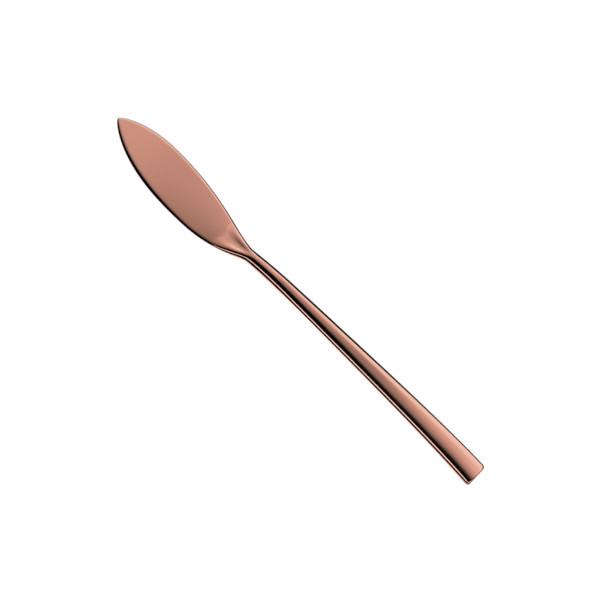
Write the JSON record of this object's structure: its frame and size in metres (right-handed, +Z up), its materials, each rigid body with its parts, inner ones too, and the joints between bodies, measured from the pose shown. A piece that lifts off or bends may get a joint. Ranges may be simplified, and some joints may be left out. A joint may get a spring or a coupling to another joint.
{
  "type": "fish knife",
  "caption": "One-piece fish knife with a leaf-shaped flat blade, a slim arched neck and a widening straight-cut handle, in polished copper-coloured steel.",
  "frame": {"origin": "centre of the bounding box at the level of the table that the knife lies on", "axes": "+X from the blade's tip to the handle's end, +Y towards the blade's spine, +Z up from the table through the good face"},
  "size_m": [0.207, 0.0234, 0.0056],
  "materials": {
    "copper_coat": "polished stainless steel with a copper-coloured vapour-deposited coat"
  },
  "bodies": {
    "root": {"fish_knife": "copper_coat"}
  },
  "joints": []
}
